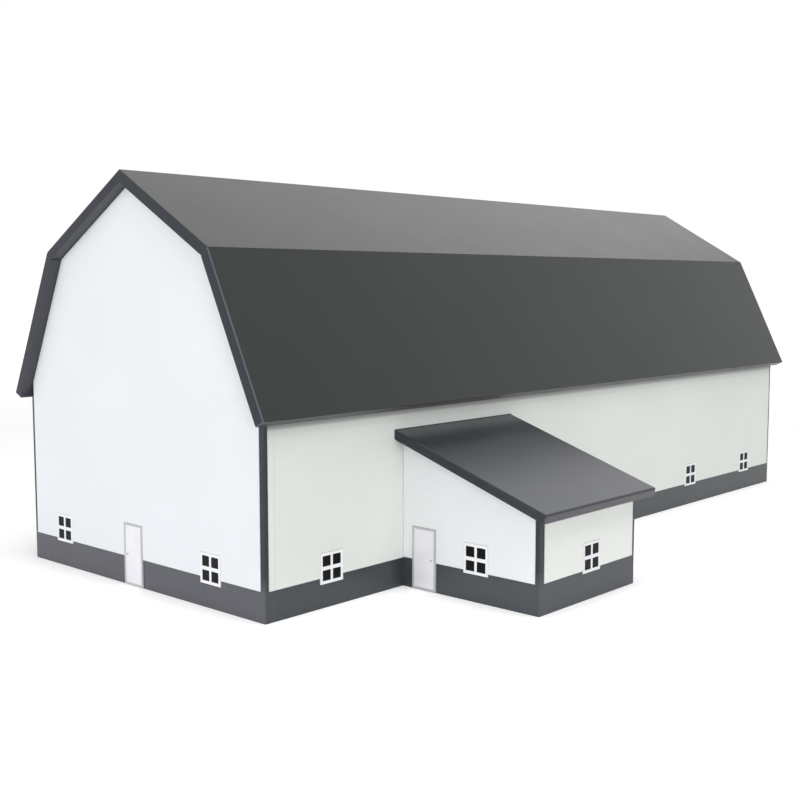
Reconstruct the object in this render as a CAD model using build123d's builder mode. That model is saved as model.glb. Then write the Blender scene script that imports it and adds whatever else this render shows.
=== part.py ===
from build123d import *
import os
from math import cos, radians, sin, tan

# Toy dairy barn with a gambrel roof, a lean-to milk house and a rear roof half that opens as a lid.
# Millimetres. The origin is the middle of the barn floor's underside. X runs along the ridge,
# Y runs from the front long wall, where the milk house stands, to the rear long wall, and Z is up.

os.makedirs("parts", exist_ok=True)

# Barn body
barn_length = 571.5
barn_width = 216.0
wall_height = 104.7
wall_t = 6.0
floor_t = 6.0
corner_ease = 0.6

# Barn roof, which rises from the tops of the long walls
upper_pitch = 30.0
lower_pitch = 64.25
knee_half_width = 74.7
eave_drop = 4.3
roof_upper_t = 6.0
roof_lower_t = 6.4
gable_overhang = 6.7
eave_round = 0.4
rake_round = 0.8
knee_ease = 0.3

# Blocks that join the roof boards on the inside
ridge_beam_side = 6.0
ridge_beam_setback = 3.8
batten_leg = 10.0
batten_depth = 5.0
batten_end_gap = 1.0

# Opening rear roof half
strip_width = 24.0
seam_gap = 0.2
lid_seat_gap = 0.1

# Lid hinges
hinge_count = 2
hinge_inset = 85.0
leaf_length = 22.0
leaf_reach = 9.5
leaf_t = 0.8
leaf_corner = 1.5
knuckle_count = 3
knuckle_gap = 0.25
knuckle_r = 1.5
knuckle_lift = 0.3
knuckle_side_gap = 0.3
pin_r = 0.7
pin_clearance = 0.06
pin_end = 0.3
screw_spacing = 13.0
screw_setback = 5.7
screw_shank_r = 0.6
screw_head_r = 1.2
screw_head_angle = 90.0
screw_length = 5.8
screw_clearance = 0.05
pilot_depth = 5.4

# Milk house
milk_near_end_inset = 102.85
milk_length = 92.5
milk_depth = 93.7
milk_roof_drop = 20.34
milk_pitch = 18.5
milk_roof_t = 5.0
milk_near_overhang = 7.5
milk_far_overhang = 7.3
milk_eave_overhang = 9.25
milk_eave_round = 1.2

# White siding sheets
siding_t = 0.4
siding_gap = 0.15
siding_roof_gap = 0.4
band_height = 16.4
milk_band_height = 16.8
siding_margin = 3.0
near_corner_gable_margin = 3.2
near_corner_front_margin = 2.45
milk_corner_door_margin = 2.5
milk_corner_outer_margin = 4.1
milk_wall_joint = 0.6

# Windows
pane_w = 5.9
pane_h = 5.7
mullion_w = 1.6
transom_h = 2.0
window_border = 1.6
window_frame_t = 0.5
pane_t = 0.3
pane_lap = 0.5
pane_gap = 0.05
window_sill = 14.8
low_window_sill = 13.0
milk_window_sill = 15.2
front_near_window_inset = 46.15
front_far_window_inset = 46.75
front_window_pitch = 90.6
rear_window_count = 6
gable_front_window_inset = 42.9
gable_rear_window_inset = 33.9
milk_door_window_inset = 41.2
milk_outer_window_inset = 47.9
milk_far_window_inset = 46.85

# Doors
door_leaf_w = 14.4
door_leaf_h = 32.8
door_frame_side = 1.35
door_frame_top = 1.1
door_frame_foot = 1.2
door_frame_t = 0.7
door_leaf_t = 0.5
door_foot_gap = 0.35
barn_door_offset = 3.5
milk_door_inset = 16.0
knob_r = 0.45
knob_t = 0.4
knob_inset = 1.85
knob_height = 17.8

# Sizes that follow from the ones above
half_length = barn_length / 2
half_width = barn_width / 2
inner_half_length = half_length - wall_t
roof_end = half_length + gable_overhang
upper = radians(upper_pitch)
lower = radians(lower_pitch)
milk_slope = radians(milk_pitch)
knee_rise = (half_width - knee_half_width) * tan(lower)
knee_height = wall_height + roof_lower_t / cos(lower) + knee_rise
ridge_height = knee_height + knee_half_width * tan(upper)
eave_height = wall_height - eave_drop
lid_edge = strip_width + seam_gap / 2
strip_edge = strip_width - seam_gap / 2
hinge_axis_lift = knuckle_r + knuckle_lift
knuckle_pitch = (leaf_length + knuckle_gap) / knuckle_count
knuckle_length = knuckle_pitch - knuckle_gap
knuckle_room = knuckle_r + knuckle_side_gap
milk_near_x = -half_length + milk_near_end_inset
milk_far_x = milk_near_x + milk_length
milk_outer_y = -half_width - milk_depth
milk_wall_height = wall_height - milk_roof_drop
milk_ridge_height = milk_wall_height + milk_roof_t / cos(milk_slope)
window_w = 2 * pane_w + mullion_w + 2 * window_border
window_h = 2 * pane_h + transom_h + 2 * window_border
door_w = door_leaf_w + 2 * door_frame_side
door_h = door_leaf_h + door_frame_top + door_frame_foot
hinge_span = barn_length - 2 * hinge_inset
hinge_places = [hinge_span * (i / (hinge_count - 1) - 0.5) for i in range(hinge_count)]


# Roof lines. A depth is measured square to the slope, inward from its outer face.
def upper_line(depth, y):
    """Height of the upper slope at a distance y from the middle."""
    return ridge_height - depth / cos(upper) - abs(y) * tan(upper)


def lower_line(depth, y):
    """Height of the lower slope at a distance y from the middle."""
    return knee_height - depth / cos(lower) - (abs(y) - knee_half_width) * tan(lower)


def lower_line_y(depth, z):
    """Distance of the lower slope from the middle at height z."""
    return knee_half_width + (knee_height - depth / cos(lower) - z) / tan(lower)


def inner_knee(extra):
    """Where the two inner faces meet, with extra depth added to both boards."""
    upper_start = ridge_height - (roof_upper_t + extra) / cos(upper)
    lower_start = knee_height + knee_half_width * tan(lower) - (roof_lower_t + extra) / cos(lower)
    y = (lower_start - upper_start) / (tan(lower) - tan(upper))
    return y, upper_start - y * tan(upper)


def mitre_point(depth):
    """Point of the knee's mitre at a depth below both outer faces."""
    share = depth / (1 + cos(lower - upper))
    return (
        knee_half_width - (sin(upper) + sin(lower)) * share,
        knee_height - (cos(upper) + cos(lower)) * share,
    )


def slope_point(along, lift):
    """Point on the rear upper slope: along it from the ridge, and lifted square off it."""
    return (
        along * cos(upper) + lift * sin(upper),
        ridge_height - along * sin(upper) + lift * cos(upper),
    )


def slope_plane(x, along, lift):
    """Plane on the rear upper slope: x along the ridge, y down the slope, z square off it."""
    return Plane(origin=(x, *slope_point(along, lift)), x_dir=(1, 0, 0), z_dir=(0, sin(upper), cos(upper)))


def milk_roof_line(y):
    """Height of the milk house roof's underside at y."""
    return milk_wall_height + (y + half_width) * tan(milk_slope)


def mirrored(points):
    """The same outline on the front side of the ridge."""
    return [(-y, z) for y, z in points]


def save(piece, name):
    """Label a finished piece and write it as its own node."""
    piece.label = name
    export_step(piece, f"parts/{name}.step")


# Floor and walls
def house_outline(y_front, y_rear, z_foot, front_extra, rear_extra):
    """Cross-section of the barn below the roof, with extra room under each roof half."""
    apex = upper_line(roof_upper_t + max(front_extra, rear_extra), 0)
    front_knee_y, front_knee_z = inner_knee(front_extra)
    return [
        (y_front, z_foot),
        (y_rear, z_foot),
        (y_rear, lower_line(roof_lower_t + rear_extra, y_rear)),
        inner_knee(rear_extra),
        (0, apex),
        (-front_knee_y, front_knee_z),
        (y_front, lower_line(roof_lower_t + front_extra, y_front)),
    ]


def gable_wall(side):
    """End wall of the barn; side is -1 at the door end and 1 at the far end."""
    with BuildPart() as wall:
        with BuildSketch(Plane.YZ.offset(side * half_length)):
            Polygon(*house_outline(-half_width, half_width, 0, 0, lid_seat_gap), align=None)
        extrude(amount=-side * wall_t)
        outer_edges = wall.edges().filter_by(Axis.Z).group_by(Axis.X)[-1 if side > 0 else 0]
        fillet(outer_edges, radius=corner_ease)
    return wall.part


def long_wall(side, extra):
    """Long wall between the gables, bevelled to the roof; side is -1 in front and 1 at the rear."""
    inner_y = half_width - wall_t
    outline = [
        (side * half_width, 0),
        (side * half_width, lower_line(roof_lower_t + extra, half_width)),
        (side * inner_y, lower_line(roof_lower_t + extra, inner_y)),
        (side * inner_y, 0),
    ]
    with BuildPart() as wall:
        with BuildSketch(Plane.YZ.offset(-inner_half_length)):
            Polygon(*outline, align=None)
        extrude(amount=2 * inner_half_length)
    return wall.part


with BuildPart() as floor_board:
    with BuildSketch(Plane.XY):
        Rectangle(2 * inner_half_length, 2 * (half_width - wall_t))
    extrude(amount=floor_t)

save(floor_board.part, "floor_board")
save(gable_wall(-1), "gable_wall_door")
save(gable_wall(1), "gable_wall_far")
save(long_wall(-1, 0), "side_wall_front")
save(long_wall(1, lid_seat_gap), "side_wall_rear")


# Blocks inside the roof
beam_half_width = slope_point(strip_edge, -roof_upper_t)[0] - ridge_beam_setback
beam_shoulder = upper_line(roof_upper_t, beam_half_width)

with BuildPart() as ridge_beam:
    with BuildSketch(Plane.YZ.offset(-inner_half_length)):
        Polygon(
            (-beam_half_width, beam_shoulder - ridge_beam_side),
            (beam_half_width, beam_shoulder - ridge_beam_side),
            (beam_half_width, beam_shoulder),
            (0, upper_line(roof_upper_t, 0)),
            (-beam_half_width, beam_shoulder),
            align=None,
        )
    extrude(amount=2 * inner_half_length)

save(ridge_beam.part, "ridge_beam")


def batten_outline():
    """Five-sided section of a knee batten, on the rear side."""
    knee_y, knee_z = inner_knee(0)
    lean = (upper + lower) / 2
    inward_y = -batten_depth * sin(lean)
    inward_z = -batten_depth * cos(lean)
    top = (knee_y - batten_leg * cos(upper), knee_z + batten_leg * sin(upper))
    foot = (knee_y + batten_leg * cos(lower), knee_z - batten_leg * sin(lower))
    return [
        (knee_y, knee_z),
        top,
        (top[0] + inward_y, top[1] + inward_z),
        (foot[0] + inward_y, foot[1] + inward_z),
        foot,
    ]


def knee_batten(outline, end_gap):
    """Batten that joins the two boards of one roof half, end_gap short of each gable."""
    with BuildPart() as batten:
        with BuildSketch(Plane.YZ.offset(-inner_half_length + end_gap)):
            Polygon(*outline, align=None)
        extrude(amount=2 * (inner_half_length - end_gap))
    return batten.part


save(knee_batten(mirrored(batten_outline()), 0), "knee_batten_front")
save(knee_batten(batten_outline(), batten_end_gap), "lid_knee_batten")


# Roof boards
def screw_places(x, side):
    """Head planes of the screws in one leaf of the hinge at x; side is -1 on the strip and 1 on the lid."""
    along = strip_width + side * screw_setback
    return [slope_plane(x + end * screw_spacing / 2, along, leaf_t) for end in (-1, 1)]


def pilot_holes(side):
    """Drill the screws' holes into the board under one side of the hinges."""
    for x in hinge_places:
        for place in screw_places(x, side):
            with Locations(place.offset(-leaf_t)):
                Hole(radius=screw_shank_r + screw_clearance, depth=pilot_depth)


def outward(side, pitch):
    """Axis square to a roof slope; side is -1 in front and 1 at the rear."""
    return Axis((0, 0, 0), (0, side * sin(pitch), cos(pitch)))


def round_rake(board, side, pitch):
    """Round a roof board's two outer edges over the gables."""
    outer_face = board.faces().sort_by(outward(side, pitch))[-1]
    fillet(outer_face.edges().filter_by(Axis.X, reverse=True), radius=rake_round)


def upper_board(side, top_points, hinge_side=0):
    """Upper roof board from its top edge down to the knee's mitre."""
    outline = [*top_points, mitre_point(roof_upper_t), (knee_half_width, knee_height)]
    with BuildPart() as board:
        with BuildSketch(Plane.YZ.offset(-roof_end)) as section:
            Polygon(*(outline if side > 0 else mirrored(outline)), align=None)
            chamfer(section.vertices().sort_by(Axis.X)[-1 if side > 0 else 0], length=knee_ease)
        extrude(amount=2 * roof_end)
        round_rake(board, side, upper)
        if hinge_side:
            pilot_holes(hinge_side)
    return board.part


def lower_board(side):
    """Lower roof board from the knee's mitre down to the eave, cut square to the slope."""
    eave_y = lower_line_y(roof_lower_t, eave_height)
    outline = [
        (knee_half_width, knee_height),
        mitre_point(roof_lower_t),
        (eave_y, eave_height),
        (eave_y + roof_lower_t * sin(lower), eave_height + roof_lower_t * cos(lower)),
    ]
    with BuildPart() as board:
        with BuildSketch(Plane.YZ.offset(-roof_end)) as section:
            Polygon(*(outline if side > 0 else mirrored(outline)), align=None)
            chamfer(section.vertices().sort_by(Axis.Y)[-1], length=knee_ease)
            fillet(section.vertices().sort_by(Axis.X)[-1 if side > 0 else 0], radius=eave_round)
        extrude(amount=2 * roof_end)
        round_rake(board, side, lower)
    return board.part


ridge_cut = [(0, ridge_height), (0, upper_line(roof_upper_t, 0))]
lid_cut = [slope_point(lid_edge, 0), slope_point(lid_edge, -roof_upper_t)]

save(upper_board(-1, ridge_cut), "roof_front_upper")
save(lower_board(-1), "roof_front_lower")
save(upper_board(1, lid_cut, hinge_side=1), "lid_upper_board")
save(lower_board(1), "lid_lower_board")

with BuildPart() as roof_hinge_strip:
    with BuildSketch(Plane.YZ.offset(-roof_end)):
        Polygon(*ridge_cut, slope_point(strip_edge, -roof_upper_t), slope_point(strip_edge, 0), align=None)
    extrude(amount=2 * roof_end)
    round_rake(roof_hinge_strip, 1, upper)
    pilot_holes(-1)

save(roof_hinge_strip.part, "roof_hinge_strip")


# Lid hinges: two leaves, whose knuckles take turns along a pin
hinge_axis = slope_point(strip_width, hinge_axis_lift)


def hinge_leaf(x, side):
    """One leaf of the hinge at x; side is -1 on the strip and 1 on the lid."""
    first_knuckle = 0 if side < 0 else 1
    starts = [i * knuckle_pitch - leaf_length / 2 for i in range(first_knuckle, knuckle_count, 2)]
    with BuildPart() as leaf:
        with BuildSketch(slope_plane(x, strip_width, 0)) as outline:
            with Locations((0, side * (leaf_reach + knuckle_room) / 2)):
                Rectangle(leaf_length, leaf_reach - knuckle_room)
            for start in starts:
                with Locations((start + knuckle_length / 2, side * knuckle_room / 2)):
                    Rectangle(knuckle_length, knuckle_room)
            far_corners = outline.vertices().group_by(Axis.Y)[-1 if side > 0 else 0]
            fillet(far_corners, radius=leaf_corner)
        extrude(amount=leaf_t)
        for start in starts:
            with BuildSketch(Plane.YZ.offset(x + start)):
                with Locations(hinge_axis):
                    Circle(knuckle_r)
            extrude(amount=knuckle_length)
        with BuildSketch(Plane.YZ.offset(x - leaf_length / 2)):
            with Locations(hinge_axis):
                Circle(pin_r + pin_clearance)
        extrude(amount=leaf_length, mode=Mode.SUBTRACT)
        with Locations(*screw_places(x, side)):
            CounterSinkHole(
                radius=screw_shank_r + screw_clearance,
                counter_sink_radius=screw_head_r + screw_clearance,
                depth=leaf_t,
                counter_sink_angle=screw_head_angle,
            )
    return leaf.part


def hinge_pin(x):
    """Pin of the hinge at x, which stands out a little past each end of the barrel."""
    with BuildPart() as pin:
        with BuildSketch(Plane.YZ.offset(x - leaf_length / 2 - pin_end)):
            with Locations(hinge_axis):
                Circle(pin_r)
        extrude(amount=leaf_length + 2 * pin_end)
    return pin.part


def hinge_screws(side):
    """Countersunk screws of one side of all the hinges."""
    head_depth = (screw_head_r - screw_shank_r) / tan(radians(screw_head_angle / 2))
    profile = [
        (0, 0),
        (screw_head_r, 0),
        (screw_shank_r, -head_depth),
        (screw_shank_r, -screw_length),
        (0, -screw_length),
    ]
    with BuildPart() as screws:
        for x in hinge_places:
            for place in screw_places(x, side):
                with BuildSketch(Plane(origin=place.origin, x_dir=place.x_dir, z_dir=-place.y_dir)):
                    Polygon(*profile, align=None)
                revolve(axis=Axis(place.origin, place.z_dir))
    return screws.part


for number, x in enumerate(hinge_places, start=1):
    save(hinge_leaf(x, -1), f"hinge_strip_leaf_{number}")
    save(hinge_leaf(x, 1), f"hinge_lid_leaf_{number}")
    save(hinge_pin(x), f"hinge_pin_{number}")

save(hinge_screws(-1), "hinge_strip_screws")
save(hinge_screws(1), "hinge_lid_screws")


# Milk house
def milk_side_wall(x_outer, side):
    """Side wall of the milk house from its outer face inward; side is -1 near and 1 far."""
    with BuildPart() as wall:
        with BuildSketch(Plane.YZ.offset(x_outer)):
            Polygon(
                (milk_outer_y, 0),
                (-half_width, 0),
                (-half_width, milk_roof_line(-half_width)),
                (milk_outer_y, milk_roof_line(milk_outer_y)),
                align=None,
            )
        extrude(amount=-side * wall_t)
        outer_edges = wall.edges().filter_by(Axis.Z).group_by(Axis.X)[-1 if side > 0 else 0]
        fillet(outer_edges.sort_by(Axis.Y)[0], radius=corner_ease)
    return wall.part


milk_inner_length = milk_length - 2 * wall_t

with BuildPart() as milk_house_outer_wall:
    with BuildSketch(Plane.YZ.offset(milk_near_x + wall_t)):
        Polygon(
            (milk_outer_y, 0),
            (milk_outer_y + wall_t, 0),
            (milk_outer_y + wall_t, milk_roof_line(milk_outer_y + wall_t)),
            (milk_outer_y, milk_roof_line(milk_outer_y)),
            align=None,
        )
    extrude(amount=milk_inner_length)

with BuildPart() as milk_house_floor:
    with BuildSketch(Plane.XY):
        with Locations((milk_near_x + wall_t, milk_outer_y + wall_t)):
            Rectangle(milk_inner_length, milk_depth - wall_t, align=Align.MIN)
    extrude(amount=floor_t)

milk_eave_y = milk_outer_y - milk_eave_overhang
milk_eave_top = milk_ridge_height + (milk_eave_y + half_width) * tan(milk_slope)

with BuildPart() as milk_house_roof:
    with BuildSketch(Plane.YZ.offset(milk_near_x - milk_near_overhang)) as milk_roof_section:
        Polygon(
            (-half_width, milk_wall_height),
            (-half_width, milk_ridge_height),
            (milk_eave_y, milk_eave_top),
            (milk_eave_y + milk_roof_t * sin(milk_slope), milk_eave_top - milk_roof_t * cos(milk_slope)),
            align=None,
        )
        fillet(milk_roof_section.vertices().sort_by(Axis.X)[0], radius=milk_eave_round)
    extrude(amount=milk_length + milk_near_overhang + milk_far_overhang)
    round_rake(milk_house_roof, -1, milk_slope)

save(milk_side_wall(milk_near_x, -1), "milk_house_door_wall")
save(milk_side_wall(milk_far_x, 1), "milk_house_far_wall")
save(milk_house_outer_wall.part, "milk_house_outer_wall")
save(milk_house_floor.part, "milk_house_floor")
save(milk_house_roof.part, "milk_house_roof")


# Places on the walls. A place is the distance along the wall, in X or Y, and the height of its foot.
front_far_window_x = half_length - front_far_window_inset
front_room = front_far_window_x - milk_far_x - milk_far_overhang - window_w / 2
front_far_window_count = 1 + int(front_room / front_window_pitch)
rear_window_pitch = 2 * front_far_window_x / (rear_window_count - 1)
barn_door_place = (barn_door_offset, door_foot_gap)
milk_door_place = (-half_width - milk_door_inset, door_foot_gap)

wall_windows = {
    "gable_door": [
        (-half_width + gable_front_window_inset, low_window_sill),
        (half_width - gable_rear_window_inset, window_sill),
    ],
    "gable_far": [
        (-half_width + gable_front_window_inset, window_sill),
        (half_width - gable_rear_window_inset, window_sill),
    ],
    "front": [
        (-half_length + front_near_window_inset, low_window_sill),
        *[(front_far_window_x - i * front_window_pitch, window_sill) for i in range(front_far_window_count)],
    ],
    "rear": [
        (front_far_window_x - i * rear_window_pitch, window_sill) for i in range(rear_window_count)
    ],
    "milk_door_wall": [(milk_outer_y + milk_door_window_inset, milk_window_sill)],
    "milk_outer_wall": [(milk_near_x + milk_outer_window_inset, milk_window_sill)],
    "milk_far_wall": [(milk_outer_y + milk_far_window_inset, milk_window_sill)],
}

wall_faces = {
    "gable_door": (Vector(-1, 0, 0), half_length),
    "gable_far": (Vector(1, 0, 0), half_length),
    "front": (Vector(0, -1, 0), half_width),
    "rear": (Vector(0, 1, 0), half_width),
    "milk_door_wall": (Vector(-1, 0, 0), -milk_near_x),
    "milk_outer_wall": (Vector(0, -1, 0), -milk_outer_y),
    "milk_far_wall": (Vector(1, 0, 0), milk_far_x),
}


def on_wall(wall, along, height):
    """Plane at a point of a wall's outer face, looking outward, with its y axis up."""
    normal, distance = wall_faces[wall]
    level = Vector(abs(normal.Y), abs(normal.X), 0)
    origin = normal * distance + level * along + Vector(0, 0, height)
    return Plane(origin=origin, x_dir=Vector(0, 0, 1).cross(normal), z_dir=normal)


# Siding: thin sheets on the walls, cut round the windows, the doors and the milk house
def notch(place, width, height):
    """Cut the sheet being drawn clear of a piece that stands at a place on the wall."""
    along, foot = place
    with Locations((along, foot + height / 2)):
        Rectangle(width + 2 * siding_gap, height + 2 * siding_gap, mode=Mode.SUBTRACT)


def window_notches(wall):
    """Cut the sheet being drawn clear of a wall's windows."""
    for place in wall_windows[wall]:
        notch(place, window_w, window_h)


def gable_siding(side, wall, front_margin):
    """Sheet on an end wall; side is -1 at the door end and 1 at the far end."""
    outline = house_outline(
        -half_width + front_margin,
        half_width - siding_margin,
        band_height,
        siding_roof_gap,
        siding_roof_gap,
    )
    with BuildPart() as sheet:
        with BuildSketch(Plane.YZ.offset(side * half_length)):
            Polygon(*outline, align=None)
            window_notches(wall)
            if side < 0:
                notch(barn_door_place, door_w, door_h)
        extrude(amount=side * siding_t)
    return sheet.part


long_siding_top = lower_line(roof_lower_t + siding_roof_gap, half_width + siding_t)

with BuildPart() as siding_front:
    with BuildSketch(Plane.XZ.offset(half_width)):
        with Locations((-half_length + near_corner_front_margin, band_height)):
            Rectangle(
                barn_length - near_corner_front_margin - siding_margin,
                long_siding_top - band_height,
                align=Align.MIN,
            )
        window_notches("front")
        notch((milk_near_x + milk_length / 2, 0), milk_length, milk_wall_height)
        notch(
            (
                milk_near_x + (milk_length + milk_far_overhang - milk_near_overhang) / 2,
                milk_wall_height,
            ),
            milk_length + milk_near_overhang + milk_far_overhang,
            milk_ridge_height - milk_wall_height,
        )
    extrude(amount=siding_t)

with BuildPart() as siding_rear:
    with BuildSketch(Plane.XZ.offset(-half_width)):
        with Locations((0, band_height)):
            Rectangle(
                barn_length - 2 * siding_margin,
                long_siding_top - band_height,
                align=(Align.CENTER, Align.MIN),
            )
        window_notches("rear")
    extrude(amount=-siding_t)


def milk_side_siding(wall, x_outer, side, corner_margin):
    """Sheet on a side wall of the milk house; side is -1 near and 1 far."""
    roof_gap = siding_roof_gap / cos(milk_slope)
    corner_y = milk_outer_y + corner_margin
    joint_y = -half_width - milk_wall_joint
    with BuildPart() as sheet:
        with BuildSketch(Plane.YZ.offset(x_outer)):
            Polygon(
                (corner_y, milk_band_height),
                (joint_y, milk_band_height),
                (joint_y, milk_roof_line(joint_y) - roof_gap),
                (corner_y, milk_roof_line(corner_y) - roof_gap),
                align=None,
            )
            window_notches(wall)
            if side < 0:
                notch(milk_door_place, door_w, door_h)
        extrude(amount=side * siding_t)
    return sheet.part


milk_outer_siding_top = milk_roof_line(milk_outer_y - siding_t) - siding_roof_gap / cos(milk_slope)

with BuildPart() as siding_milk_outer_wall:
    with BuildSketch(Plane.XZ.offset(-milk_outer_y)):
        with Locations((milk_near_x + milk_corner_outer_margin, milk_band_height)):
            Rectangle(
                milk_length - milk_corner_outer_margin - siding_margin,
                milk_outer_siding_top - milk_band_height,
                align=Align.MIN,
            )
        window_notches("milk_outer_wall")
    extrude(amount=siding_t)

save(gable_siding(-1, "gable_door", near_corner_gable_margin), "siding_gable_door")
save(gable_siding(1, "gable_far", siding_margin), "siding_gable_far")
save(siding_front.part, "siding_front")
save(siding_rear.part, "siding_rear")
save(milk_side_siding("milk_door_wall", milk_near_x, -1, milk_corner_door_margin), "siding_milk_door_wall")
save(milk_side_siding("milk_far_wall", milk_far_x, 1, siding_margin), "siding_milk_far_wall")
save(siding_milk_outer_wall.part, "siding_milk_outer_wall")


# Windows: a plate with four openings, and a dark film in a pocket behind them
film_w = window_w - 2 * (window_border - pane_lap)
film_h = window_h - 2 * (window_border - pane_lap)


def window_frame(place):
    """White plate of one window, pocketed at the back for its film."""
    with BuildPart() as frame:
        with BuildSketch(place):
            Rectangle(window_w, window_h)
            with GridLocations(pane_w + mullion_w, pane_h + transom_h, 2, 2):
                Rectangle(pane_w, pane_h, mode=Mode.SUBTRACT)
        extrude(amount=window_frame_t)
        with BuildSketch(place):
            Rectangle(film_w, film_h)
        extrude(amount=pane_t, mode=Mode.SUBTRACT)
    return frame.part


window_places = {
    f"window_{wall}_{number}": on_wall(wall, along, sill + window_h / 2)
    for wall, places in wall_windows.items()
    for number, (along, sill) in enumerate(places, start=1)
}

for name, place in window_places.items():
    save(window_frame(place), name)

with BuildPart() as window_panes:
    for place in window_places.values():
        with BuildSketch(place):
            Rectangle(film_w - 2 * pane_gap, film_h - 2 * pane_gap)
        extrude(amount=pane_t)

save(window_panes.part, "window_panes")


# Doors: a flat leaf inside a thin four-sided frame, with a small flat round knob
door_places = {
    "barn": on_wall("gable_door", *barn_door_place),
    "milk_house": on_wall("milk_door_wall", *milk_door_place),
}
leaf_centre = (0, door_frame_foot + door_leaf_h / 2)

for name, place in door_places.items():
    with BuildPart() as door_frame:
        with BuildSketch(place):
            Rectangle(door_w, door_h, align=(Align.CENTER, Align.MIN))
            with Locations(leaf_centre):
                Rectangle(door_leaf_w, door_leaf_h, mode=Mode.SUBTRACT)
        extrude(amount=door_frame_t)
    with BuildPart() as door_leaf:
        with BuildSketch(place):
            with Locations(leaf_centre):
                Rectangle(door_leaf_w, door_leaf_h)
        extrude(amount=door_leaf_t)
    save(door_frame.part, f"door_frame_{name}")
    save(door_leaf.part, f"door_leaf_{name}")

knob_sides = {"barn": -1, "milk_house": 1}

with BuildPart() as door_knobs:
    for name, place in door_places.items():
        knob_x = knob_sides[name] * (door_leaf_w / 2 - knob_inset)
        with BuildSketch(place.offset(door_leaf_t)):
            with Locations((knob_x, knob_height - door_foot_gap)):
                Circle(knob_r)
        extrude(amount=knob_t)

save(door_knobs.part, "door_knobs")
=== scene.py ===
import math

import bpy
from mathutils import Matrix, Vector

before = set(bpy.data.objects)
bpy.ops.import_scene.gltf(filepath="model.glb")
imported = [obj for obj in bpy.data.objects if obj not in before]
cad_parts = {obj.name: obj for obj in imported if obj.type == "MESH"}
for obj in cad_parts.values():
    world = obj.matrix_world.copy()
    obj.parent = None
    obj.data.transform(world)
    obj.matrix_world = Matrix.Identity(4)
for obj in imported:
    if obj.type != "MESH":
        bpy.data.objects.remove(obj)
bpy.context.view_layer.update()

# Looks of the toy dairy barn: charcoal painted boards with bare wood inside, white siding sheets,
# dark panes in white plates, doors with grey frames, and bright steel hinges beside the ridge.
# Places and sizes are in metres, with x along the ridge, y towards the lid and z up.

MM = 0.001

# Places on the building. A fade starts at the first of its two places and is full at the second.

BAND_FADE = (15 * MM, 24 * MM)  # heights where the foot band's paint gives way to the corners'
SHEET_JOINT_X = -279.2 * MM  # the joint in the long walls' siding
EAVE_SHADOW_LINE = (97.1 * MM, 99.0 * MM)  # heights of the painted shadow line on the siding under the front eave
EAVE_SHADE = (93.3 * MM, 100.3 * MM)  # heights of the softer painted shade round that line
SHADED_EAVE_START = (-218 * MM, -186 * MM)  # near end, in x, of the painted shade and reflection of the milk house roof on the front eave's cut edge
SHADED_EAVE_END = (-95 * MM, -104 * MM)  # its far end
BARN_INSIDE = ((-0.2799, -0.1021, -0.01), (0.2799, 0.1021, 0.5))
MILK_HOUSE_INSIDE = ((-0.1770, -0.1958, -0.01), (-0.0963, -0.1079, 0.5))

# Colours, as they would be picked on a screen

ROOF_CHARCOAL = "#2A2D2D"
# painted shade: the roof boards' end faces get a darker, bluer tone of the charcoal
RAKE_CHARCOAL = "#262932"
# painted bounce light: faces of the roof boards that look down get a lighter tone of the charcoal
SOFFIT_CHARCOAL = "#46474D"
# painted highlight on the roof boards' rounded edges
ROUNDING_GREY = "#5E6167"
MILK_ROOF_CHARCOAL = "#262A32"
# painted light: the foot band on walls that look along x gets a lighter tone than on the long walls
GABLE_BAND_CHARCOAL = "#54555C"
LONG_BAND_CHARCOAL = "#3E4246"
MILK_BAND_CHARCOAL = "#44484D"
CORNER_CHARCOAL = "#25272D"
# painted shade and reflection of the milk house roof on the front eave's cut edge
SHADED_EAVE_BLACK = "#131414"
# painted light and shade: the one white siding sheet gets its own white on each wall, by how light
# falls on it
SIDING_GABLE = "#EEF2F6"
SIDING_LONG = "#E8ECE7"
SIDING_MILK_SIDE = "#F1F4F6"
SIDING_MILK_OUTER = "#F6F9F4"
PLATE_WHITE = "#F9FAFD"
FILM_BLACK = "#0E0D0C"
LEAF_WHITE = "#F5F4FB"
FRAME_GREY = "#C6C4C8"
KNOB_GREY = "#ACACB2"
WOOD_LIGHT = "#D9BC93"
WOOD_DARK = "#C09B6C"
STEEL = "#C9CBCE"
FLOOR_WHITE = "#F4F4F4"
WHITE = (1, 1, 1, 1)

# Gloss of the paints, and how dull bare wood is beside them

ROOF_GLOSS = {"specular": 0.29, "roughness": 0.335}
MILK_ROOF_GLOSS = {"specular": 0.42, "roughness": 0.25}
WALL_GLOSS = {"specular": 0.42, "roughness": 0.335}
GLOSS_DRIFT = 0.01
BARE_ROUGHNESS = 0.62

# Ranges that patterns are read over

NOISE_RANGE = (0.3, 0.7)  # where nearly all of a noise texture's values lie
EDGE_RANGE = (0.995, 0.88)  # cosine between a surface and its rounded self, from flat to edge
FACES_DOWN = -0.05  # height of a normal below which a face looks down
END_FACE = (0.9, 0.98)  # share of x in a normal, from a board's rounding to its end face
ROUNDING = (0.1, 0.3)  # the same, from a board's side to its rounding
WALL_END = (0.3, 0.7)  # the same, from a wall that looks along y to one that looks along x


def linear(colour):
    """The linear RGBA of a colour written as on a screen."""
    channels = [int(colour[i:i + 2], 16) / 255 for i in (1, 3, 5)]
    return [c / 12.92 if c <= 0.04045 else ((c + 0.055) / 1.055) ** 2.4 for c in channels] + [1.0]


def shade(colour, amount):
    """A colour made darker (below 1) or lighter (above 1) in linear light."""
    return [min(1.0, c * amount) for c in linear(colour)[:3]] + [1.0]


# Material building


def feed(tree, socket, value):
    """Links a socket, or writes a plain value into it."""
    if isinstance(value, bpy.types.NodeSocket):
        tree.links.new(value, socket)
    else:
        socket.default_value = value


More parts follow.
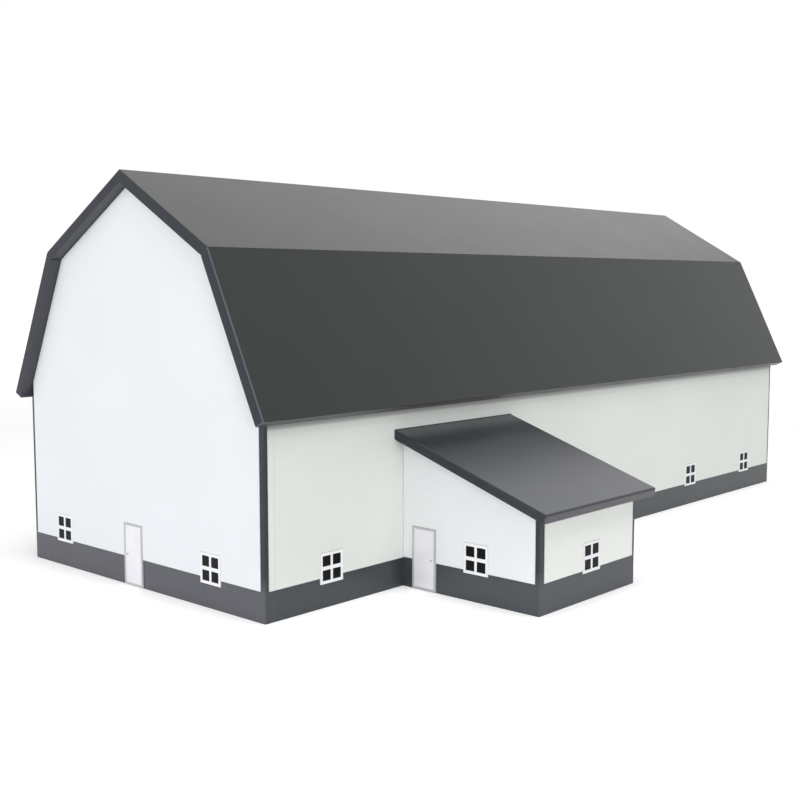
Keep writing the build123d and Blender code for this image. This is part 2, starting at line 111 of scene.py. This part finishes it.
def add_node(tree, kind, inputs=None, **settings):
    """A new node, with what goes into its sockets and what its settings are."""
    node = tree.nodes.new(kind)
    for name, value in settings.items():
        setattr(node, name, value)
    for name, value in (inputs or {}).items():
        feed(tree, node.inputs[name], value)
    return node


class Finish:
    """A node material: one Principled shader fed by patterns in metres of the shared frame."""

    def __init__(self, name, specular=0.5, metallic=0.0):
        self.material = bpy.data.materials.new(name)
        self.material.use_nodes = True
        self.tree = self.material.node_tree
        self.shader = self.tree.nodes["Principled BSDF"]
        self.shader.inputs["Specular IOR Level"].default_value = specular
        self.shader.inputs["Metallic"].default_value = metallic
        coordinates = self.add("ShaderNodeTexCoord")
        self.place = coordinates.outputs["Object"]
        self.facing = coordinates.outputs["Normal"]
        self.relief = None

    def add(self, kind, inputs=None, **settings):
        return add_node(self.tree, kind, inputs, **settings)

    def noise(self, size, stretch=(1, 1, 1), detail=2.0, distortion=0.0):
        """Noise whose features are about `size` wide, drawn out along the axes by `stretch`."""
        scale = [1 / s for s in stretch]
        mapping = self.add("ShaderNodeMapping", {"Vector": self.place, "Scale": scale})
        texture = self.add("ShaderNodeTexNoise", {
            "Vector": mapping.outputs["Vector"],
            "Scale": 1 / size,
            "Detail": detail,
            "Distortion": distortion,
        })
        return texture.outputs["Fac"]

    def spread(self, value, start, end, low=0.0, high=1.0):
        """Maps start..end to low..high, held at the ends."""
        node = self.add("ShaderNodeMapRange", {
            "Value": value,
            "From Min": start,
            "From Max": end,
            "To Min": low,
            "To Max": high,
        })
        return node.outputs["Result"]

    def clouds(self, size, low=0.0, high=1.0, detail=2.0):
        """Soft patches about `size` wide, between low and high."""
        return self.spread(self.noise(size, detail=detail), *NOISE_RANGE, low, high)

    def maths(self, operation, first, second=0.0):
        node = self.add("ShaderNodeMath", {0: first, 1: second}, operation=operation)
        return node.outputs["Value"]

    def distance(self, value, place):
        """How far a value is from a place, whichever side of it."""
        return self.maths("ABSOLUTE", self.maths("SUBTRACT", value, place))

    def axis(self, vector, name):
        return self.add("ShaderNodeSeparateXYZ", {"Vector": vector}).outputs[name]

    def endways(self):
        """1 where the surface looks along x, 0 where it looks across it."""
        return self.maths("ABSOLUTE", self.axis(self.facing, "X"))

    def inside(self, box):
        """1 inside a box, given by its lowest and highest corners, 0 outside."""
        result = 1.0
        for name, low, high in zip("XYZ", *box):
            off = self.distance(self.axis(self.place, name), (low + high) / 2)
            result = self.maths("MULTIPLY", result, self.maths("LESS_THAN", off, (high - low) / 2))
        return result

    def blend(self, factor, first, second):
        """The first colour where factor is 0, the second where it is 1."""
        node = self.add("ShaderNodeMix", data_type="RGBA")
        sockets = [socket for socket in node.inputs if socket.enabled]
        for socket, value in zip(sockets, (factor, first, second)):
            feed(self.tree, socket, value)
        return next(socket for socket in node.outputs if socket.enabled)

    def clouded(self, colour, size, darkest, lightest, detail=2.0):
        """A colour that drifts between two shades of itself."""
        return self.blend(
            self.clouds(size, detail=detail), shade(colour, darkest), shade(colour, lightest)
        )

    def edge_wear_and_highlight(self, colour, edge_colour, radius, share):
        """A colour of which `share` gives way to another within about `radius` of an edge."""
        rounded = self.add("ShaderNodeBevel", {"Radius": radius}, samples=6)
        geometry = self.add("ShaderNodeNewGeometry")
        product = self.add(
            "ShaderNodeVectorMath",
            {0: rounded.outputs["Normal"], 1: geometry.outputs["Normal"]},
            operation="DOT_PRODUCT",
        )
        edges = self.spread(product.outputs["Value"], *EDGE_RANGE, 0.0, share)
        return self.blend(edges, colour, edge_colour)

    def emboss(self, height, depth):
        """Adds relief of that depth to what the finish already has."""
        bump = self.add("ShaderNodeBump", {"Distance": depth, "Height": height})
        if self.relief is not None:
            feed(self.tree, bump.inputs["Normal"], self.relief)
        self.relief = bump.outputs["Normal"]

    def done(self, colour, roughness):
        feed(self.tree, self.shader.inputs["Base Color"], colour)
        feed(self.tree, self.shader.inputs["Roughness"], roughness)
        if self.relief is not None:
            feed(self.tree, self.shader.inputs["Normal"], self.relief)
        return self.material


# Bare wood, with its grain along x, or along y in the gables


def along_grain(length, grain):
    """The stretch of a pattern that is drawn out that many times along the grain's axis."""
    return [length if name == grain else 1 for name in "XYZ"]


def wood_fibres(finish, grain):
    return finish.noise(0.5 * MM, stretch=along_grain(60, grain), detail=2)


def wood_colour(finish, grain="X"):
    bands = finish.noise(3 * MM, stretch=along_grain(30, grain), detail=3, distortion=0.6)
    bands = finish.spread(bands, 0.35, 0.65)
    fibres = finish.spread(wood_fibres(finish, grain), 0.45, 0.8, 0.0, 0.5)
    colour = finish.blend(bands, linear(WOOD_LIGHT), linear(WOOD_DARK))
    return finish.blend(fibres, colour, shade(WOOD_DARK, 0.6))


def bare_wood():
    finish = Finish("bare_wood", specular=0.3)
    finish.emboss(wood_fibres(finish, "X"), 0.03 * MM)
    return finish.done(wood_colour(finish), finish.clouds(8 * MM, 0.55, 0.7))


# Boards that are painted outside in charcoal satin and bare inside the building


def paint_colour(finish, charcoal, *others):
    """Faintly clouded paint with specks of dust and paler edges, which are partly wear and partly a
    painted highlight.

    `others` are pairs of a further colour and the share that it takes from place to place.
    """
    colour = finish.clouded(charcoal, 70 * MM, darkest=0.93, lightest=1.08, detail=3)
    for other, share in others:
        colour = finish.blend(share, colour, linear(other))
    specks = finish.spread(finish.noise(1.6 * MM, detail=1), 0.74, 0.80, 0.0, 0.25)
    colour = finish.blend(specks, colour, shade(charcoal, 2.2))
    # paler edges: partly paint wear, partly a painted highlight
    return finish.edge_wear_and_highlight(colour, shade(charcoal, 3.0), radius=0.7 * MM, share=0.25)


def painted_outside(finish, paint, roughness, bare, grain="X"):
    """Satin paint where `bare` is 0, and wood with its grain along an axis where it is 1."""
    finish.emboss(finish.noise(60 * MM, detail=1), 0.012 * MM)
    finish.emboss(finish.noise(1.2 * MM, detail=2), 0.006 * MM)
    satin = finish.clouds(25 * MM, roughness - GLOSS_DRIFT, roughness + GLOSS_DRIFT, detail=3)
    dull = finish.maths("MULTIPLY", bare, BARE_ROUGHNESS)
    colour = finish.blend(bare, paint, wood_colour(finish, grain))
    return finish.done(colour, finish.maths("MAXIMUM", satin, dull))


def front_eave_shade_and_reflection(finish):
    """1 along the front eave above the milk house, where its cut edge is painted black as the shade
    and reflection of the milk house roof, 0 elsewhere.
    """
    along = finish.axis(finish.place, "X")
    ends = [finish.spread(along, *end) for end in (SHADED_EAVE_START, SHADED_EAVE_END)]
    front = finish.maths("LESS_THAN", finish.axis(finish.place, "Y"), 0.0)
    return finish.maths("MULTIPLY", finish.maths("MULTIPLY", *ends), front)


def roof_board(name, charcoal, inside, specular, roughness, rounding_highlight, shaded_eave=False):
    """A roof board, bare inside the walls, with painted shade on its end faces, a painted highlight
    on its roundings, painted bounce light on its underside and, where asked, the milk house roof's
    painted shade and reflection on the front eave.
    """
    finish = Finish(name, specular)
    looks_down = finish.maths("LESS_THAN", finish.axis(finish.facing, "Z"), FACES_DOWN)
    endways = finish.endways()
    end_face = finish.spread(endways, *END_FACE)
    past_side = finish.spread(endways, *ROUNDING)
    before_end = finish.spread(endways, *END_FACE, rounding_highlight, 0.0)
    others = [
        # painted bounce light on faces that look down
        (SOFFIT_CHARCOAL, looks_down),
        # painted shade on end faces
        (RAKE_CHARCOAL, end_face),
        # painted highlight on the roundings
        (ROUNDING_GREY, finish.maths("MULTIPLY", past_side, before_end)),
    ]
    # painted shade and reflection of the milk house roof on the front eave's cut edge
    if shaded_eave:
        others.append((SHADED_EAVE_BLACK, finish.maths("MULTIPLY", looks_down, front_eave_shade_and_reflection(finish))))
    paint = paint_colour(finish, charcoal, *others)
    bare = finish.maths("MULTIPLY", finish.inside(inside), looks_down)
    return painted_outside(finish, paint, roughness, bare)


def wall_board(name, side_band, end_band, inside, grain="X"):
    """A wall board, of which the foot band shows and, darker, the strips beside the siding."""
    finish = Finish(name, WALL_GLOSS["specular"])
    above_band = finish.spread(finish.axis(finish.place, "Z"), *BAND_FADE)
    end_wall = finish.spread(finish.endways(), *WALL_END)
    # painted light: walls that look along x take the end band's tone, lighter on the gables
    others = [(end_band, end_wall), (CORNER_CHARCOAL, above_band)]
    paint = paint_colour(finish, side_band, *others)
    return painted_outside(finish, paint, WALL_GLOSS["roughness"], finish.inside(inside), grain)


# White siding, a thin smooth sheet


def siding(name, colour, joint=False, eave=False):
    """A white sheet with duller edges and, where asked, a joint and a painted shadow under the
    eave.
    """
    finish = Finish(name)
    tint = finish.clouded(colour, 90 * MM, darkest=0.97, lightest=1.02, detail=3)
    dust = finish.spread(finish.noise(4 * MM, detail=4), 0.62, 0.75, 0.0, 0.05)
    tint = finish.blend(dust, tint, shade(colour, 0.7))
    tint = finish.edge_wear_and_highlight(tint, shade(colour, 0.45), radius=0.5 * MM, share=0.18)
    if joint:
        off = finish.distance(finish.axis(finish.place, "X"), SHEET_JOINT_X)
        line = finish.spread(off, 0.12 * MM, 0.3 * MM, 0.25, 0.0)
        tint = finish.blend(line, tint, shade(colour, 0.5))
    # Painted shadow under the front eave: a dark line, and a softer shade round it.
    if eave:
        height = finish.axis(finish.place, "Z")
        for fade, share in ((EAVE_SHADOW_LINE, 0.6), (EAVE_SHADE, 0.3)):
            tint = finish.blend(finish.spread(height, *fade, 0.0, share), tint, shade(colour, 0.1))
    finish.emboss(finish.noise(55 * MM, detail=2), 0.35 * MM)
    finish.emboss(finish.noise(0.9 * MM, detail=2), 0.006 * MM)
    return finish.done(tint, finish.clouds(30 * MM, 0.36, 0.46))


# Windows and doors


def window_plate():
    finish = Finish("window_plate")
    tint = finish.clouded(PLATE_WHITE, 9 * MM, darkest=0.97, lightest=1.01)
    tint = finish.edge_wear_and_highlight(tint, shade(PLATE_WHITE, 0.5), radius=0.25 * MM, share=0.10)
    finish.emboss(finish.noise(0.6 * MM), 0.004 * MM)
    return finish.done(tint, finish.clouds(6 * MM, 0.30, 0.40))


def window_film():
    finish = Finish("window_film", specular=0.12)
    streaks = finish.spread(finish.noise(5 * MM, stretch=(1, 1, 3)), 0.35, 0.75)
    tint = finish.blend(streaks, linear(FILM_BLACK), shade(FILM_BLACK, 1.7))
    finish.emboss(finish.noise(4 * MM), 0.01 * MM)
    return finish.done(tint, finish.clouds(3 * MM, 0.30, 0.42))


def door_paint(name, colour, roughness):
    """Smooth paint, of that roughness and in places up to 0.1 more."""
    finish = Finish(name)
    tint = finish.clouded(colour, 12 * MM, darkest=0.96, lightest=1.02)
    tint = finish.edge_wear_and_highlight(tint, shade(colour, 0.55), radius=0.3 * MM, share=0.3)
    finish.emboss(finish.noise(0.7 * MM), 0.005 * MM)
    return finish.done(tint, finish.clouds(6 * MM, roughness, roughness + 0.1))


# Hinges with their pins and screws


def hinge_steel():
    """Brushed steel, with its strokes along x."""
    finish = Finish("hinge_steel", metallic=1.0)
    strokes = finish.noise(0.25 * MM, stretch=(14, 1, 1), detail=3)
    streaks = finish.spread(strokes, *NOISE_RANGE)
    tint = finish.blend(streaks, shade(STEEL, 0.82), shade(STEEL, 1.05))
    finish.emboss(strokes, 0.006 * MM)
    return finish.done(tint, finish.clouds(2 * MM, 0.24, 0.38))


# Finishes on the CAD nodes

UPPER_ROOF = roof_board(
    "upper_roof_board", ROOF_CHARCOAL, BARN_INSIDE, **ROOF_GLOSS, rounding_highlight=0.1
)
LOWER_ROOF = roof_board(
    "lower_roof_board", ROOF_CHARCOAL, BARN_INSIDE, **ROOF_GLOSS, rounding_highlight=0.9, shaded_eave=True
)
MILK_ROOF = roof_board(
    "milk_house_roof_board",
    MILK_ROOF_CHARCOAL,
    MILK_HOUSE_INSIDE,
    **MILK_ROOF_GLOSS,
    rounding_highlight=0.1,
)
BARN_WALL = wall_board("barn_wall_board", LONG_BAND_CHARCOAL, GABLE_BAND_CHARCOAL, BARN_INSIDE)
GABLE_WALL = wall_board(
    "gable_wall_board", LONG_BAND_CHARCOAL, GABLE_BAND_CHARCOAL, BARN_INSIDE, grain="Y"
)
MILK_WALL = wall_board(
    "milk_house_wall_board", MILK_BAND_CHARCOAL, MILK_BAND_CHARCOAL, MILK_HOUSE_INSIDE
)
WOOD = bare_wood()
LEAF = door_paint("door_leaf", LEAF_WHITE, 0.30)
FRAME = door_paint("door_frame", FRAME_GREY, 0.34)
KNOB = door_paint("door_knob", KNOB_GREY, 0.22)
PLATE = window_plate()
FILM = window_film()
METAL = hinge_steel()
# each wall's siding takes its own white, as painted light and shade
GABLE_SHEET = siding("siding_gable", SIDING_GABLE)
FRONT_SHEET = siding("siding_front", SIDING_LONG, joint=True, eave=True)
REAR_SHEET = siding("siding_rear", SIDING_LONG, joint=True)
MILK_SIDE_SHEET = siding("siding_milk_house_side", SIDING_MILK_SIDE)
MILK_OUTER_SHEET = siding("siding_milk_house_outer", SIDING_MILK_OUTER)

# The first of these that a node's name begins with is its finish.
FINISH_OF = {
    "siding_gable": GABLE_SHEET,
    "siding_milk_outer": MILK_OUTER_SHEET,
    "siding_milk": MILK_SIDE_SHEET,
    "siding_front": FRONT_SHEET,
    "siding_rear": REAR_SHEET,
    "window_panes": FILM,
    "window_": PLATE,
    "door_leaf": LEAF,
    "door_frame": FRAME,
    "door_knobs": KNOB,
    "hinge_": METAL,
    "ridge_beam": WOOD,
    "knee_batten": WOOD,
    "lid_knee_batten": WOOD,
    "floor_board": BARN_WALL,
    "milk_house_floor": MILK_WALL,
    "gable_wall": GABLE_WALL,
    "side_wall": BARN_WALL,
    "milk_house_roof": MILK_ROOF,
    "milk_house_": MILK_WALL,
    "roof_front_lower": LOWER_ROOF,
    "lid_lower": LOWER_ROOF,
    "roof_": UPPER_ROOF,
    "lid_": UPPER_ROOF,
}


def dress(name, node):
    finish = next(material for start, material in FINISH_OF.items() if name.startswith(start))
    for slot in node.material_slots:
        slot.material = finish


for name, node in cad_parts.items():
    dress(name, node)

# World, floor and lamps

AMBIENT = 0.3  # strength of the world on the object
SEEN_WORLD = 1.0  # its strength where it is looked at
FLOOR_SIZE = 12.0
FLOOR_ROUGHNESS = 0.8
FLOOR_LIFT = 0.32  # glow of the floor near the object where it is looked at
FAR_LIFT = 0.8  # and out where the lamps don't reach
LIFT_REACH = (0.7, 2.5)  # distances over which the second takes over from the first
LAMPS_AIM = Vector((0, 0, 0.1))


def seen_directly(tree):
    """1 for rays that come from the camera or a mirror-like or clear surface, else 0."""
    path = add_node(tree, "ShaderNodeLightPath")
    seen = path.outputs["Is Camera Ray"]
    for name in ("Is Glossy Ray", "Is Transmission Ray"):
        either = {0: seen, 1: path.outputs[name]}
        seen = add_node(tree, "ShaderNodeMath", either, operation="MAXIMUM").outputs["Value"]
    return seen


def white_world():
    """Plain soft light all round, behind which the eye sees white."""
    world = bpy.data.worlds.new("studio")
    world.use_nodes = True
    tree = world.node_tree
    background = tree.nodes["Background"]
    strength = add_node(tree, "ShaderNodeMapRange", {
        "Value": seen_directly(tree),
        "To Min": AMBIENT,
        "To Max": SEEN_WORLD,
    })
    feed(tree, background.inputs["Color"], WHITE)
    feed(tree, background.inputs["Strength"], strength.outputs["Result"])
    bpy.context.scene.world = world


def floor_glow(tree):
    """The strength of the glow that lifts the floor to white where it is looked at."""
    place = add_node(tree, "ShaderNodeTexCoord").outputs["Object"]
    distance = add_node(tree, "ShaderNodeVectorMath", {0: place}, operation="LENGTH")
    lift = add_node(tree, "ShaderNodeMapRange", {
        "Value": distance.outputs["Value"],
        "From Min": LIFT_REACH[0],
        "From Max": LIFT_REACH[1],
        "To Min": FLOOR_LIFT,
        "To Max": FAR_LIFT,
    })
    both = {0: seen_directly(tree), 1: lift.outputs["Result"]}
    return add_node(tree, "ShaderNodeMath", both, operation="MULTIPLY").outputs["Value"]


def floor_material():
    """A dull white that keeps the object's shadow."""
    material = bpy.data.materials.new("floor")
    material.use_nodes = True
    tree = material.node_tree
    sockets = tree.nodes["Principled BSDF"].inputs
    feed(tree, sockets["Base Color"], linear(FLOOR_WHITE))
    feed(tree, sockets["Roughness"], FLOOR_ROUGHNESS)
    feed(tree, sockets["Specular IOR Level"], 0.0)
    feed(tree, sockets["Emission Color"], WHITE)
    feed(tree, sockets["Emission Strength"], floor_glow(tree))
    return material


def pale_floor():
    half = FLOOR_SIZE / 2
    corners = [(-half, -half, 0), (half, -half, 0), (half, half, 0), (-half, half, 0)]
    mesh = bpy.data.meshes.new("floor")
    mesh.from_pydata(corners, [], [(0, 1, 2, 3)])
    mesh.materials.append(floor_material())
    floor = bpy.data.objects.new("floor", mesh)
    bpy.context.scene.collection.objects.link(floor)


def soft_lamp(name, place, size, watts, mirrored=False):
    """A square area lamp that looks at the barn, and that gloss shows where mirrored is true."""
    lamp = bpy.data.lights.new(name, "AREA")
    lamp.size = size
    lamp.energy = watts
    holder = bpy.data.objects.new(name, lamp)
    holder.location = place
    holder.rotation_euler = (LAMPS_AIM - Vector(place)).to_track_quat("-Z", "Y").to_euler()
    holder.visible_glossy = mirrored
    bpy.context.scene.collection.objects.link(holder)


white_world()
pale_floor()
soft_lamp("above", (-0.3, -0.9, 2.4), size=1.8, watts=33)
soft_lamp("left", (-2.4, -0.1, 0.6), size=1.4, watts=7.5)
soft_lamp("low_left", (-1.6, 0.5, 0.15), size=0.9, watts=6)
soft_lamp("front_left", (-1.3, -1.9, 0.35), size=1.0, watts=14, mirrored=True)
soft_lamp("front_right", (1.9, -1.5, 1.8), size=1.6, watts=1.7, mirrored=True)
soft_lamp("back_right", (1.9, 1.2, 1.9), size=2.0, watts=6.9, mirrored=True)

# Camera, where the photograph was taken from

CAMERA_PLACE = (-0.6598, -0.5392, 0.1705)
CAMERA_TURN = 0.7379  # radians from x towards y
CAMERA_TILT = -0.1006  # radians up
CAMERA_LENS = 52.17  # millimetres, as is the sensor
SENSOR_WIDTH = 36
NEAREST_SEEN = 0.02


def photo_camera():
    camera = bpy.data.objects.new("camera", bpy.data.cameras.new("camera"))
    camera.data.lens = CAMERA_LENS
    camera.data.sensor_width = SENSOR_WIDTH
    camera.data.clip_start = NEAREST_SEEN
    ahead = Vector((
        math.cos(CAMERA_TILT) * math.cos(CAMERA_TURN),
        math.cos(CAMERA_TILT) * math.sin(CAMERA_TURN),
        math.sin(CAMERA_TILT),
    ))
    turn = ahead.to_track_quat("-Z", "Y").to_matrix().to_4x4()
    camera.matrix_world = Matrix.Translation(CAMERA_PLACE) @ turn
    bpy.context.scene.collection.objects.link(camera)
    bpy.context.scene.camera = camera


photo_camera()
bpy.context.scene.view_settings.view_transform = "Standard"
